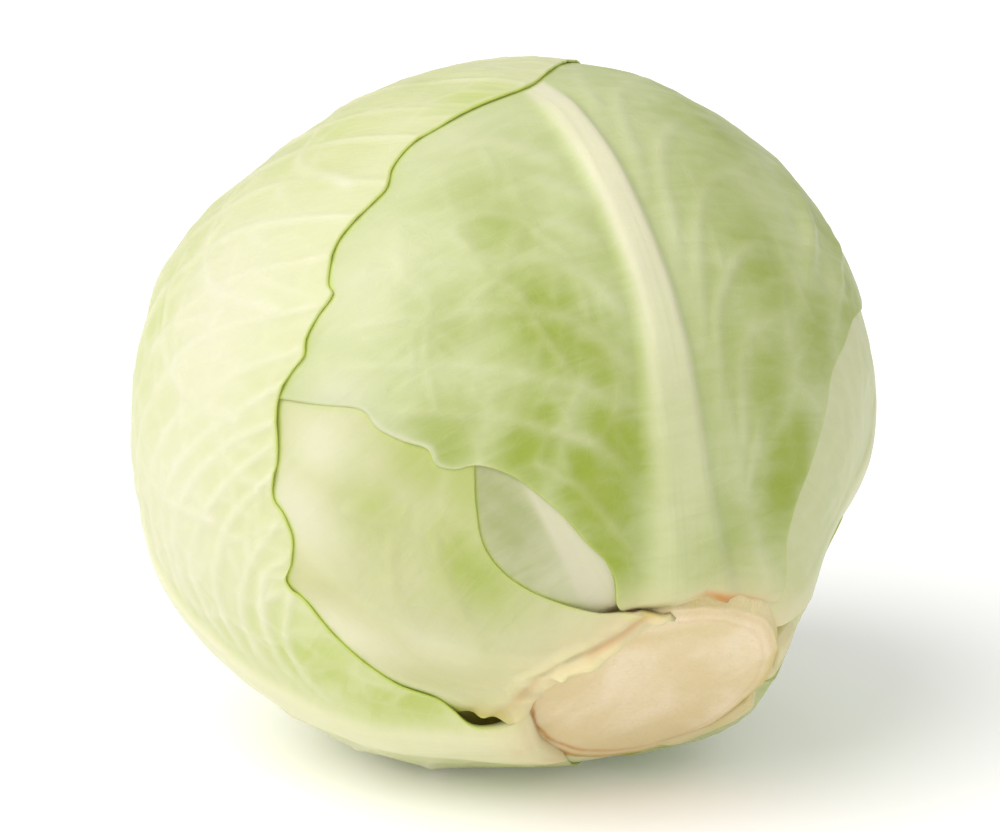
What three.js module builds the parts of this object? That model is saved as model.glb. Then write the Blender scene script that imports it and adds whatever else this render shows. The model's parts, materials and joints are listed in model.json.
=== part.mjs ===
import * as THREE from 'three';
import { mergeVertices } from 'three/addons/utils/BufferGeometryUtils.js';

// A firm white cabbage head lying on its side, in millimetres.
//
// In its growing frame the cut stem points down -Z, the crown up +Z, and a place on the
// head is written [longitude, angle from the stem] in degrees. Every leaf is a thin cup
// that starts at the stem and wraps the head. The leaves are listed from the outermost
// inwards, and each one lies one layer deeper wherever an earlier leaf covers it.

// ---- Driving dimensions ----

const EQUATOR_RADIUS = 82;
const STEM_SIDE_DEPTH = 75.5;
const CROWN_SIDE_DEPTH = 72;

// Distance from the head's centre to the flat spot it rests on.
const REST_DEPTH = 76.6;

const LEAF_THICKNESS = 1.0;
const LAYER_PITCH = 2.2;
const COVER_MARGIN = 4;
const COVER_FADE = 26;

const RIB_RISE = 1.6;
const RIB_THICKENING = 1.4;
const RIB_HALF_WIDTH_AT_BASE = 15;
const RIB_HALF_WIDTH_AT_TIP = 3;

const STUMP_RADIUS = 28.3;
const STUMP_FACE_DEPTH = 74;
const STUMP_LENGTH = 12;
const STUMP_INNER_RADIUS = 19;
const CUT_TILT = 11;
const CUT_TOWARD = -70;

const HEART_START = 30;
const HEART_CAP_DEPTH = 54;
const HEART_GAP = 0.6;

// Longest edge of the leaf facets, before the diagonal.
const CELL = 10;

// How the head lies: the crown leans away from upright towards a compass direction, and
// REST_LONGITUDE is the side of the head that ends up underneath.
const CROWN_LEAN = 52;
const LEAN_TOWARDS = 122;
const REST_LONGITUDE = -144;

// Head centre over the ground, so that the whole head is centred on the origin.
const HEAD_CENTRE = [-0.4, 0.7];

// ---- Directions and the head's outer surface ----

const rad = THREE.MathUtils.degToRad;
const UP = new THREE.Vector3(0, 0, 1);

function direction([longitude, fromStem]) {
  const around = rad(longitude);
  const away = rad(fromStem);
  return new THREE.Vector3(
    Math.cos(around) * Math.sin(away),
    Math.sin(around) * Math.sin(away),
    -Math.cos(away),
  );
}

const DOWNWARDS = direction([REST_LONGITUDE, CROWN_LEAN]);

// Gentle swells and dents of the ball: centre, height in mm, spread in degrees.
const SWELLS = [
  { at: [-17, 136], height: -1.3, spread: 16 },
  { at: [-45, 126], height: 2.0, spread: 14 },
  { at: [68, 104], height: -1.6, spread: 18 },
  { at: [110, 14], height: 8.5, spread: 22 },
  { at: [170, 32], height: 4.5, spread: 17 },
  { at: [116, 38], height: -6.0, spread: 13 },
].map((swell) => ({ ...swell, centre: direction(swell.at), spread: rad(swell.spread) }));

function headRadius(w) {
  const depth = w.z < 0 ? STEM_SIDE_DEPTH : CROWN_SIDE_DEPTH;
  const ball = 1 / Math.hypot(w.x / EQUATOR_RADIUS, w.y / EQUATOR_RADIUS, w.z / depth);
  return SWELLS.reduce(
    (radius, { centre, height, spread }) =>
      radius + height * Math.exp(-((w.angleTo(centre) / spread) ** 2)),
    ball,
  );
}

// Radius of the surface lying `depth` under the head's skin, raised by `rise` off the
// flat spot. Over the flat spot the layers are planes, one under another.
function layerRadius(w, depth, rise = 0) {
  const round = headRadius(w) - depth + rise;
  const downward = w.dot(DOWNWARDS);
  return downward > 0.5 ? Math.min(round, (REST_DEPTH - depth) / downward) : round;
}

// ---- Leaves ----

// Each leaf: its midrib, left edge and right edge, all from the base to the tip.
const LEAVES = [
  {
    name: 'stub_right',
    color: '#c9d39a',
    rib: [[111, 21.3], [111, 24], [111, 26.8]],
    left: [[101, 21.3], [102, 23.5], [105, 26]],
    right: [[122, 21.3], [121, 23.5], [117, 26]],
    ribbed: false,
  },
  {
    name: 'stub_lower',
    color: '#d8cf8f',
    rib: [[166, 22], [166, 24.5], [166, 27.2]],
    left: [[142, 21.7], [145, 24], [153, 26.2]],
    right: [[-170, 22.3], [-172, 24.6], [179, 26.8]],
    ribbed: false,
  },
  {
    name: 'left_leaf',
    color: '#e3e8b0',
    rib: [[-104, 24.5], [-88, 50], [-84, 80], [-88, 112], [-94, 148], [-98, 184], [-98, 220]],
    left: [
      [-142, 24.5], [-162, 36], [-180, 52], [172, 70], [167, 88], [161, 104], [150, 119],
      [132, 131],
    ],
    right: [
      [-71, 24.5], [-74, 29], [-63, 37], [-57, 49], [-50, 62], [-41, 68], [-31, 78], [-21, 83],
      [-12, 90], [0, 99], [10, 106], [26, 108], [36, 114], [48, 122], [64, 131],
    ],
    ribbed: true,
  },
  {
    name: 'front_leaf',
    color: '#c8d795',
    rib: [[36, 22.5], [32, 48], [30, 75], [30, 110], [30, 160]],
    left: [
      [7, 23.5], [4, 31], [1, 37], [-3, 49], [-9, 57], [-15, 63], [-19, 72], [-27, 81],
      [-40, 94], [-52, 112], [-50, 135],
    ],
    right: [
      [74, 22.3], [67, 31], [67, 41], [69, 52], [74, 63], [82, 71], [91, 77], [101, 88],
      [106, 104], [102, 122], [85, 142],
    ],
    ribbed: true,
  },
  {
    name: 'back_leaf',
    color: '#c2d08c',
    rib: [[166, 22.5], [166, 55], [166, 90], [166, 125], [166, 165]],
    left: [[142, 22], [131, 38], [123, 60], [121, 85], [125, 110], [128, 140]],
    right: [[-166, 23], [-158, 38], [-150, 60], [-145, 85], [-150, 112], [-160, 140]],
    ribbed: true,
  },
  {
    name: 'lower_leaf',
    color: '#d9dfb4',
    rib: [[-36, 24], [-40, 48], [-40, 75], [-38, 105], [-35, 145]],
    left: [[-67, 25], [-76, 38], [-92, 58], [-100, 80], [-96, 105], [-75, 135]],
    right: [
      [3, 24.2], [-6, 27], [-13, 32], [-17, 41], [-14, 51], [-6, 60], [4, 76], [10, 98],
      [6, 120], [-10, 138],
    ],
    ribbed: true,
  },
  {
    name: 'right_leaf',
    color: '#bccb93',
    rib: [[104, 22], [106, 55], [106, 85], [106, 115], [106, 148]],
    left: [[66, 22.5], [52, 40], [44, 62], [44, 90], [52, 118], [74, 140]],
    right: [[138, 22.5], [148, 40], [158, 62], [160, 90], [156, 118], [138, 140]],
    ribbed: true,
  },
  {
    name: 'under_leaf',
    color: '#d4dba6',
    rib: [[-146, 25], [-148, 55], [-148, 85], [-148, 115], [-148, 150]],
    left: [[-178, 25], [170, 42], [162, 65], [162, 90], [170, 118], [-172, 140]],
    right: [[-112, 26], [-104, 42], [-98, 65], [-98, 90], [-106, 118], [-122, 140]],
    ribbed: true,
  },
  {
    name: 'inner_leaf',
    color: '#dfe3bf',
    rib: [[-5, 26.5], [-7, 50], [-7, 75], [-7, 100], [-7, 130]],
    left: [[-34, 26.5], [-48, 42], [-56, 62], [-54, 88], [-34, 118]],
    right: [[24, 26.5], [34, 42], [40, 62], [38, 88], [20, 118]],
    ribbed: true,
  },
];

const smooth = (points) =>
  new THREE.CatmullRomCurve3(points.map(direction), false, 'catmullrom', 0.5);

const along = (curve, v) => curve.getPoint(v).normalize();

// A direction part-way along the great circle from one direction to another.
function between(from, to, part) {
  const turn = from.angleTo(to);
  if (turn < 1e-6) return from.clone();
  return from
    .clone()
    .multiplyScalar(Math.sin((1 - part) * turn) / Math.sin(turn))
    .addScaledVector(to, Math.sin(part * turn) / Math.sin(turn));
}

// Direction at u (-1 left edge, 0 midrib, 1 right edge) and v (0 base, 1 tip) of a leaf.
function leafDirection(leaf, u, v) {
  const edge = u < 0 ? leaf.leftEdge : leaf.rightEdge;
  return between(along(leaf.midrib, v), along(edge, v), Math.abs(u)).normalize();
}

// Flat map of the head about a leaf's middle: true distances and bearings from there.
function chart(leaf, w) {
  const away = leaf.middle.angleTo(w);
  const bearing = Math.atan2(w.dot(leaf.north), w.dot(leaf.east));
  return new THREE.Vector2(Math.cos(bearing), Math.sin(bearing))
    .multiplyScalar(away * EQUATOR_RADIUS);
}

function prepareLeaf(leaf) {
  leaf.midrib = smooth(leaf.rib);
  leaf.leftEdge = smooth(leaf.left);
  leaf.rightEdge = smooth(leaf.right);
  leaf.middle = along(leaf.midrib, 0.5);
  leaf.east = new THREE.Vector3().crossVectors(UP, leaf.middle).normalize();
  leaf.north = new THREE.Vector3().crossVectors(leaf.middle, leaf.east);
  const steps = Array.from({ length: 33 }, (_, i) => i / 32);
  const tip = steps.map((s) => leafDirection(leaf, 1 - 2 * s, 1));
  const base = steps.map((s) => leafDirection(leaf, 2 * s - 1, 0));
  const up = steps.map((v) => along(leaf.rightEdge, v));
  const down = steps.map((v) => along(leaf.leftEdge, 1 - v));
  leaf.outline = [...up, ...tip, ...down, ...base].map((w) => chart(leaf, w));
}

// Distance outside a leaf's outline, negative inside it.
function distanceOutside(leaf, w) {
  const p = chart(leaf, w);
  let nearest = Infinity;
  let inside = false;
  leaf.outline.forEach((b, i) => {
    const a = leaf.outline.at(i - 1);
    const edge = b.clone().sub(a);
    const past = p.clone().sub(a).dot(edge) / (edge.lengthSq() || 1);
    const closest = a.clone().addScaledVector(edge, THREE.MathUtils.clamp(past, 0, 1));
    nearest = Math.min(nearest, p.distanceTo(closest));
    const level = a.y > p.y !== b.y > p.y;
    if (level && p.x < a.x + ((p.y - a.y) / edge.y) * edge.x) inside = !inside;
  });
  return inside ? -nearest : nearest;
}

// 1 under a leaf and just outside its edge, fading to 0 further away.
function cover(leaf, w) {
  const past = distanceOutside(leaf, w) - COVER_MARGIN;
  return 1 - THREE.MathUtils.smoothstep(past, 0, leaf.ribbed ? COVER_FADE : COVER_FADE / 2);
}

// 1 on the midrib, 0 off it; the rib is broad at the base and narrow at the tip.
function ribShape(leaf, w) {
  if (!leaf.ribbed) return 0;
  const samples = 40;
  let best = 0;
  for (let i = 0; i <= samples; i += 1) {
    const v = i / samples;
    const halfWidth = THREE.MathUtils.lerp(RIB_HALF_WIDTH_AT_BASE, RIB_HALF_WIDTH_AT_TIP, v ** 0.5);
    const off = (along(leaf.midrib, v).angleTo(w) * EQUATOR_RADIUS) / halfWidth;
    best = Math.max(best, Math.exp(-off * off) * (1 - 0.7 * v));
  }
  return best;
}

// Depth taken up at a direction by the leaves over leaf number `index`.
function depthAbove(index, w) {
  return LEAVES.slice(0, index).reduce((depth, leaf) => {
    const share = cover(leaf, w);
    return share > 0 ? depth + share * (LAYER_PITCH + RIB_THICKENING * ribShape(leaf, w)) : depth;
  }, 0);
}

// ---- Closed bodies ----

function closedBody(points, triangles) {
  const geometry = new THREE.BufferGeometry().setFromPoints(points);
  geometry.setIndex(triangles.flat());
  return mergeVertices(geometry, 1e-4);
}

// Two triangles over a cell of a grid, wound so that a-b-c-d runs anticlockwise outside.
const quad = (a, b, c, d) => [a, b, c, a, c, d];

function leafGeometry(index) {
  const leaf = LEAVES[index];
  const width = (v) =>
    leafDirection(leaf, -1, v).angleTo(leafDirection(leaf, 0, v)) +
    leafDirection(leaf, 0, v).angleTo(leafDirection(leaf, 1, v));
  const widest = Math.max(...[0, 0.2, 0.4, 0.6, 0.8, 1].map(width)) * EQUATOR_RADIUS;
  const length = rad(leaf.rib.at(-1)[1] - leaf.rib[0][1]) * EQUATOR_RADIUS;
  const columns = 2 * Math.max(3, Math.round(widest / CELL / 2));
  const rows = Math.max(2, Math.round(length / CELL));
  const outer = [];
  const inner = [];
  for (let i = 0; i <= rows; i += 1) {
    for (let j = 0; j <= columns; j += 1) {
      const w = leafDirection(leaf, (2 * j) / columns - 1, i / rows);
      const depth = depthAbove(index, w);
      const rib = ribShape(leaf, w);
      const bare = Math.max(0, 1 - depth / LAYER_PITCH);
      const thickness = LEAF_THICKNESS + RIB_THICKENING * rib;
      outer.push(w.clone().multiplyScalar(layerRadius(w, depth, RIB_RISE * rib * bare)));
      inner.push(w.clone().multiplyScalar(layerRadius(w, depth + thickness)));
    }
  }
  const at = (i, j) => i * (columns + 1) + j;
  const below = outer.length;
  const triangles = [];
  for (let i = 0; i < rows; i += 1) {
    for (let j = 0; j < columns; j += 1) {
      const cell = [at(i, j), at(i, j + 1), at(i + 1, j + 1), at(i + 1, j)];
      triangles.push(quad(...cell));
      triangles.push(quad(...cell.map((k) => k + below).reverse()));
    }
  }
  const wall = (a, b) => triangles.push(quad(a, b, b + below, a + below));
  for (let j = 0; j < columns; j += 1) {
    wall(at(0, j + 1), at(0, j));
    wall(at(rows, j), at(rows, j + 1));
  }
  for (let i = 0; i < rows; i += 1) {
    wall(at(i, 0), at(i + 1, 0));
    wall(at(i + 1, columns), at(i, columns));
  }
  return closedBody([...outer, ...inner], triangles);
}

// The packed young leaves inside, as one solid under every modelled leaf.
function heartGeometry() {
  const columns = 36;
  const rows = 15;
  const onSurface = (w) =>
    w.clone().multiplyScalar(layerRadius(w, depthAbove(LEAVES.length, w) + HEART_GAP));
  const points = [new THREE.Vector3(0, 0, -HEART_CAP_DEPTH)];
  for (let i = 0; i < rows; i += 1) {
    const fromStem = THREE.MathUtils.lerp(HEART_START, 180, i / rows);
    for (let j = 0; j < columns; j += 1) {
      points.push(onSurface(direction([(360 * j) / columns, fromStem])));
    }
  }
  const crown = points.length;
  points.push(onSurface(UP));
  const at = (i, j) => 1 + i * columns + (j % columns);
  const triangles = [];
  for (let j = 0; j < columns; j += 1) {
    triangles.push([0, at(0, j + 1), at(0, j)]);
    triangles.push([crown, at(rows - 1, j), at(rows - 1, j + 1)]);
    for (let i = 0; i < rows - 1; i += 1) {
      triangles.push(quad(at(i, j), at(i, j + 1), at(i + 1, j + 1), at(i + 1, j)));
    }
  }
  return closedBody(points, triangles);
}

// The stump flares towards its flat cut face, which looks down its own -Y axis here.
function stumpGeometry() {
  const profile = [
    [0, 0],
    [STUMP_RADIUS - 1.2, 0],
    [STUMP_RADIUS, 0.9],
    [STUMP_RADIUS - 0.3, 3],
    [STUMP_RADIUS - 4, 7.5],
    [STUMP_INNER_RADIUS, STUMP_LENGTH],
    [0, STUMP_LENGTH],
  ].map(([r, y]) => new THREE.Vector2(r, y));
  const lathe = new THREE.LatheGeometry(profile, 36);
  lathe.deleteAttribute('normal');
  lathe.deleteAttribute('uv');
  return mergeVertices(lathe, 1e-4);
}

// ---- The head ----

function piece(name, geometry, color, roughness) {
  const material = new THREE.MeshStandardMaterial({ color, roughness, metalness: 0 });
  const mesh = new THREE.Mesh(geometry, material);
  mesh.name = name;
  return mesh;
}

LEAVES.forEach(prepareLeaf);

const head = new THREE.Group();
LEAVES.forEach((leaf, index) => {
  head.add(piece(leaf.name, leafGeometry(index), leaf.color, 0.5));
});
head.add(piece('heart', heartGeometry(), '#e6e9c4', 0.6));

const stump = piece('stump', stumpGeometry(), '#e2d3a4', 0.75);
const cutFacing = direction([CUT_TOWARD, CUT_TILT]);
stump.quaternion.setFromUnitVectors(new THREE.Vector3(0, -1, 0), cutFacing);
stump.position.set(0, 0, -STUMP_FACE_DEPTH);
head.add(stump);

// Turn the resting side underneath, lean the crown over, then face the lean.
head.rotation.z = rad(-REST_LONGITUDE);
const lean = new THREE.Group();
lean.rotation.y = rad(CROWN_LEAN);
lean.add(head);
const group = new THREE.Group();
group.rotation.z = rad(LEAN_TOWARDS);
group.position.set(...HEAD_CENTRE, REST_DEPTH);
group.add(lean);

export default group;
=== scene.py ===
import json
import math

import bpy
import numpy as np
from mathutils import Matrix, Vector


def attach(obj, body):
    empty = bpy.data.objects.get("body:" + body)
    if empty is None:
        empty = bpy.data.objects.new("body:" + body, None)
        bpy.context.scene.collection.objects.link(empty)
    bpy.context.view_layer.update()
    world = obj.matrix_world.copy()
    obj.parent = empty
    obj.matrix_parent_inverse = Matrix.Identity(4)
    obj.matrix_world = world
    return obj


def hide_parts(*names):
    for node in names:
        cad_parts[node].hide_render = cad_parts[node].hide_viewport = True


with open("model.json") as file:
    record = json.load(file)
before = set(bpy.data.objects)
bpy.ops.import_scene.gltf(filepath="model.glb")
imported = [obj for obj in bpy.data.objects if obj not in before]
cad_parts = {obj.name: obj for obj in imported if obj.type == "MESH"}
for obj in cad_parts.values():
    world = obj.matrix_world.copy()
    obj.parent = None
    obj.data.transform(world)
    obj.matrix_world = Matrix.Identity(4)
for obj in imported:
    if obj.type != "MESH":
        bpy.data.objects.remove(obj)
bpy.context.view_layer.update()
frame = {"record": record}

# The head is worked out in its growing frame, in millimetres: the cut stem points down
# -Z, the crown up +Z, and a place on it is (longitude, angle from the stem) in degrees.
# It then leans over onto its resting side, in metres, over the record's rest_spot mount.

EQUATOR_RADIUS = 82.0
STEM_SIDE_DEPTH = 75.5
CROWN_SIDE_DEPTH = 72.0
REST_DEPTH = 76.6
CROWN_LEAN = 52.0
LEAN_TOWARDS = 122.0
REST_LONGITUDE = -144.0

# A leaf pushes those under it down by one pitch, fading out beyond its edge.
LAYER_PITCH = 0.62
COVER_MARGIN = 1.0
STUB_MARGIN = 0.5
COVER_FADE = 15.0
STUB_FADE = 5.0
# Width of the band of painted shade along the edge of a leaf lying over another.
PAINTED_EDGE_SHADE_BAND = 0.55
RIM_BAND = 0.5

# The cut face: its mean radius, and its radius every 30 degrees from the top.
FACE_RADIUS = 28.0
FACE_RADII = [27.6, 27.2, 28.2, 29.2, 29.4, 30.6, 31.6, 30.0, 27.6, 27.0, 28.4, 28.0]
STUMP_FACE_DEPTH = 74.0
CUT_TILT = 11.0
CUT_TOWARD = -70.0

# A small hollow beside the stump: its place, spread and depth.
HOLLOW = (-74, 26, 6)
HOLLOW_DEPTH = 3.4
HEART_HOLLOW_DEPTH = 2.8
HEART_CROWN_REACH = 62.0
HEART_BASE_REACH = 56.0

# Broad swells and dents of the head: (longitude, angle from stem, height, spread).
SWELLS = [
    (-17, 136, -1.3, 16), (-45, 126, 2.0, 14), (68, 104, -1.6, 18),
    (110, 14, 8.5, 22), (170, 32, 4.5, 17), (116, 38, -6.0, 13),
]

rest_spot = next(m for m in frame["record"]["mounts"] if m["name"] == "rest_spot")
HEAD_CENTRE = Vector(rest_spot["pos_m"]) + Vector((0, 0, REST_DEPTH / 1000))
TURN = (
    Matrix.Rotation(math.radians(LEAN_TOWARDS), 3, "Z")
    @ Matrix.Rotation(math.radians(CROWN_LEAN), 3, "Y")
    @ Matrix.Rotation(math.radians(-REST_LONGITUDE), 3, "Z")
)


def to_row(points_mm):
    return points_mm @ np.array(TURN).T / 1000 + np.array(HEAD_CENTRE)


# ---- Directions and the head's surface ----


def direction(longitude, from_stem):
    around, away = np.radians(longitude), np.radians(from_stem)
    return np.stack(
        [np.cos(around) * np.sin(away), np.sin(around) * np.sin(away), -np.cos(away)], -1
    )


DOWNWARDS = direction(REST_LONGITUDE, CROWN_LEAN)


def angle_to(w, centre):
    return np.degrees(np.arccos(np.clip(w @ centre, -1, 1)))


def from_stem_angle(w):
    return np.degrees(np.arccos(-w[..., 2]))


def blob(w, longitude, from_stem, spread, stretch=1.0, turn=0.0):
    """A soft patch on the head; stretch and turn make it an oval, turn 0 along a meridian."""
    centre = direction(longitude, from_stem)
    east = np.cross([0, 0, 1], centre)
    east /= np.linalg.norm(east)
    north = np.cross(centre, east)
    away = angle_to(w, centre)
    bearing = np.arctan2(w @ east, w @ north) - math.radians(turn)
    across, along = away * np.sin(bearing), away * np.cos(bearing) / stretch
    return np.exp(-(across**2 + along**2) / spread**2)


def head_radius(w):
    depth = np.where(w[..., 2] < 0, STEM_SIDE_DEPTH, CROWN_SIDE_DEPTH)
    level = (w[..., 0] ** 2 + w[..., 1] ** 2) / EQUATOR_RADIUS**2 + (w[..., 2] / depth) ** 2
    radius = 1 / np.sqrt(level)
    for longitude, from_stem, height, spread in SWELLS:
        away = angle_to(w, direction(longitude, from_stem)) / spread
        radius = radius + height * np.exp(-(away**2))
    return radius


def layer_radius(w, depth, rise=0.0):
    bumpy = head_radius(w) - depth + rise
    downward = w @ DOWNWARDS
    flat = (REST_DEPTH - depth) / np.maximum(downward, 0.5)
    return np.where(downward > 0.5, np.minimum(bumpy, flat), bumpy)


# ---- Smooth noise, the same on every run ----

NOISE_TABLE = np.random.default_rng(11).random((32, 32, 32))


def smooth_noise(points_mm, cell, shift=0.0):
    """Values from -1 to 1 that change smoothly over about `cell` millimetres."""
    p = points_mm / cell + shift + 100.0
    low = np.floor(p).astype(int)
    part = p - low
    part = part * part * (3 - 2 * part)
    total = 0.0
    for corner in range(8):
        step = np.array([corner & 1, corner >> 1 & 1, corner >> 2 & 1])
        i, j, k = np.moveaxis((low + step) % 32, -1, 0)
        weight = np.prod(np.where(step, part, 1 - part), -1)
        total = total + weight * NOISE_TABLE[i, j, k]
    return 2 * total - 1


def smoothstep(x, low, high):
    t = np.clip((x - low) / (high - low), 0, 1)
    return t * t * (3 - 2 * t)


def bell(x, middle, width):
    """A soft peak of height 1 at the middle."""
    return np.exp(-(((x - middle) / width) ** 2))


# ---- Leaves, from the outermost inwards ----
# rib, left and right run from the leaf's base to its tip, as (longitude, angle from stem).
# rib_widths are half widths at the base, a third up, and at the tip, in millimetres.
# grown_sides are the sides of the midrib, -1 or 1, on which veins grow by themselves.

LEAF_DEFAULTS = dict(
    ribbed=True, thickness=0.55, lift=0.06, rib_rise=0.0, rib_slope=1.0,
    rib_pale=(0.5, 0.6, 0.9, 0.9), grown_sides=(-1, 1), vein_rise=0.5, vein_tone=0.42,
    net_tone=0.16, stem_tint_reach=5.5,
)
LEAVES = [
    dict(
        name="stub_right", cell=0.7, ribbed=False, thickness=3.2, lift=0.0,
        rib=[(111, 19.4), (111, 23), (111, 26.3)],
        left=[(99, 19.6), (101, 22), (104, 24.6), (108, 26)],
        right=[(123, 19.6), (121, 22), (118, 24.6), (114, 26)],
    ),
    dict(
        name="stub_lower", cell=0.7, ribbed=False, thickness=2.4, lift=0.0,
        rib=[(166, 20.4), (166, 23.5), (166, 26.3)],
        left=[(139, 20), (144, 22.6), (150, 24.6), (159, 26)],
        right=[(-167, 20.6), (-172, 23.2), (-178, 25.2), (173, 26.2)],
    ),
    dict(
        name="left_leaf", cell=0.95, lift=0.08, stem_tint_reach=8.0,
        rib_widths=(17, 8, 3.5), rib_rise=1.7, grown_sides=(),
        vein_tone=0.85, vein_rise=0.75, net_tone=0.24,
        rib=[(-104, 21), (-88, 50), (-84, 80), (-88, 112), (-94, 148), (-98, 184), (-98, 220)],
        left=[
            (-126, 22.5), (-152, 35), (-176, 51), (172, 70), (167, 88), (161, 104),
            (150, 119), (132, 131),
        ],
        right=[
            (-68, 21), (-74, 25.5), (-74, 29.5), (-68, 32.5), (-63, 36), (-61, 42), (-57, 49),
            (-54, 54), (-51, 59), (-50, 63), (-46, 64), (-42, 66), (-40, 69), (-39, 72),
            (-34, 75), (-31, 78), (-29, 80.3), (-26.5, 81.8), (-23.5, 82.7), (-21, 83.2),
            (-19.5, 85), (-16.5, 86.6), (-13, 88), (-12.8, 90), (-10, 94), (-7, 96),
            (-1, 98.2), (1, 99.4), (3, 102.5), (7, 105), (12, 106), (19, 107.5), (28, 109),
            (34, 113), (42, 119), (64, 131),
        ],
    ),
    dict(
        name="front_leaf", cell=0.95, grown_sides=(), vein_tone=0.25, net_tone=0.09,
        rib_widths=(10, 4.8, 2.4), rib_rise=2.2, rib_pale=(0.12, 0.26, 0.82, 1.0), rib_slope=1.35,
        rib=[(36, 22.6), (31, 33), (29, 48), (30, 68), (30, 85), (30, 110), (30, 160)],
        left=[
            (6, 22.4), (2.5, 25), (5, 29), (5, 33), (2.5, 37.5), (1, 42), (-1, 46.5), (-4, 52),
            (-8, 56), (-12, 57.5), (-14, 59.5), (-13.5, 62), (-16, 65), (-18, 68.5),
            (-18.5, 72), (-23, 76), (-28, 81), (-40, 94), (-52, 112), (-50, 135),
        ],
        right=[
            (78, 21.2), (74, 26), (67, 31), (65.5, 36), (67, 41), (67.5, 46), (69, 52), (70, 58),
            (74, 63), (79, 69), (91, 77), (101, 88), (106, 104), (102, 122), (85, 142),
        ],
    ),
    dict(
        name="back_leaf", cell=1.15, lift=0.08, rib_widths=(17, 7, 3), rib_rise=1.8,
        rib=[(166, 20.2), (166, 55), (166, 90), (166, 125), (166, 165)],
        left=[(142, 20), (131, 38), (123, 60), (121, 85), (125, 110), (128, 140)],
        right=[(-166, 21), (-158, 38), (-150, 60), (-145, 85), (-150, 112), (-160, 140)],
    ),
    dict(
        name="lower_leaf", cell=0.95, stem_tint_reach=9.0,
        rib_widths=(9, 7.5, 4), rib_rise=1.5, rib_pale=(0.3, 0.75, 0.75, 0.6), grown_sides=(),
        rib=[
            (-30, 21.6), (-44, 30), (-50, 40), (-50, 50), (-48, 62), (-44, 76), (-40, 92),
            (-38, 112), (-35, 145),
        ],
        left=[(-68, 22.4), (-73, 34), (-90, 56), (-100, 80), (-96, 105), (-75, 135)],
        right=[
            (22, 20.6), (7, 23), (-1, 25), (-6, 27), (-12, 31), (-16, 36), (-17.5, 41),
            (-16.5, 46), (-13, 51), (-9, 56), (-2, 66), (6, 80), (10, 98), (6, 120),
            (-10, 138),
        ],
    ),
    dict(
        name="right_leaf", cell=1.1, rib_widths=(16, 6, 3), rib_rise=1.4,
        rib=[(104, 20), (106, 55), (106, 85), (106, 115), (106, 148)],
        left=[(66, 20.4), (52, 40), (44, 62), (44, 90), (52, 118), (74, 140)],
        right=[(138, 20.4), (148, 40), (158, 62), (160, 90), (156, 118), (138, 140)],
    ),
    dict(
        name="under_leaf", cell=1.5, rib_widths=(16, 8, 3), rib_rise=1.2,
        rib=[(-146, 23), (-148, 55), (-148, 85), (-148, 115), (-148, 150)],
        left=[(-178, 23), (170, 42), (162, 65), (162, 90), (170, 118), (-172, 140)],
        right=[(-112, 24), (-104, 42), (-98, 65), (-98, 90), (-106, 118), (-122, 140)],
    ),
    dict(
        name="inner_leaf", cell=1.2,
        rib_widths=(6, 4.5, 3), rib_rise=1.4, rib_pale=(0.8, 0.9, 0.9, 0.8),
        rib=[(-1, 23), (0, 50), (-2, 75), (-4, 100), (-5, 130)],
        left=[(-34, 24), (-48, 42), (-56, 62), (-54, 88), (-34, 118)],
        right=[(24, 24), (34, 42), (40, 62), (38, 88), (20, 118)],
    ),
]
LEAVES = [LEAF_DEFAULTS | leaf for leaf in LEAVES]


def edge_curve(points, v):
    """Directions along a uniform Catmull-Rom curve through points, v from 0 to 1."""
    w = np.array([direction(*p) for p in points])
    w = np.vstack([2 * w[0] - w[1], w, 2 * w[-1] - w[-2]])
    last = len(points) - 1
    place = np.clip(np.asarray(v) * last, 0, last)
    index = np.minimum(place.astype(int), last - 1)
    t = (place - index)[..., None]
    a, b, c, d = w[index], w[index + 1], w[index + 2], w[index + 3]
    bent = 0.5 * (
        2 * b + (c - a) * t + (2 * a - 5 * b + 4 * c - d) * t**2 + (3 * b - a - 3 * c + d) * t**3
    )
    return bent / np.linalg.norm(bent, axis=-1, keepdims=True)


def great_circle(a, b, part):
    turn = np.arccos(np.clip(np.sum(a * b, -1), -1, 1))[..., None]
    turn = np.maximum(turn, 1e-6)
    part = np.asarray(part)[..., None]
    mixed = (np.sin((1 - part) * turn) * a + np.sin(part * turn) * b) / np.sin(turn)
    return mixed / np.linalg.norm(mixed, axis=-1, keepdims=True)


def even_curve(points, v):
    """The same curve with v measured along its length."""
    steps = np.linspace(0, 1, 30 * len(points))
    w = edge_curve(points, steps)
    climb = np.concatenate([[0], np.cumsum(np.linalg.norm(np.diff(w, axis=0), axis=-1))])
    return edge_curve(points, np.interp(v, climb / climb[-1], steps))


def leaf_direction(leaf, u, v):
    midrib = even_curve(leaf["rib"], v)
    left, right = even_curve(leaf["left"], v), even_curve(leaf["right"], v)
    edge = np.where((u < 0)[..., None], left, right)
    return great_circle(midrib, edge, np.abs(u))


def chart(leaf, w):
    away = np.arccos(np.clip(w @ leaf["middle"], -1, 1)) * EQUATOR_RADIUS
    bearing = np.arctan2(w @ leaf["north"], w @ leaf["east"])
    return np.stack([away * np.cos(bearing), away * np.sin(bearing)], -1)


def prepare(leaf):
    leaf["middle"] = even_curve(leaf["rib"], 0.5)
    east = np.cross([0, 0, 1], leaf["middle"])
    leaf["east"] = east / np.linalg.norm(east)
    leaf["north"] = np.cross(leaf["middle"], leaf["east"])
    s = np.linspace(0, 1, 121)
    one = np.ones_like(s)
    outline = np.vstack([
        leaf_direction(leaf, one, s),
        leaf_direction(leaf, 1 - 2 * s[::4], one[::4]),
        leaf_direction(leaf, -one, 1 - s),
        leaf_direction(leaf, 2 * s[::4] - 1, 0 * s[::4]),
    ])
    leaf["outline"] = chart(leaf, outline)


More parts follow.
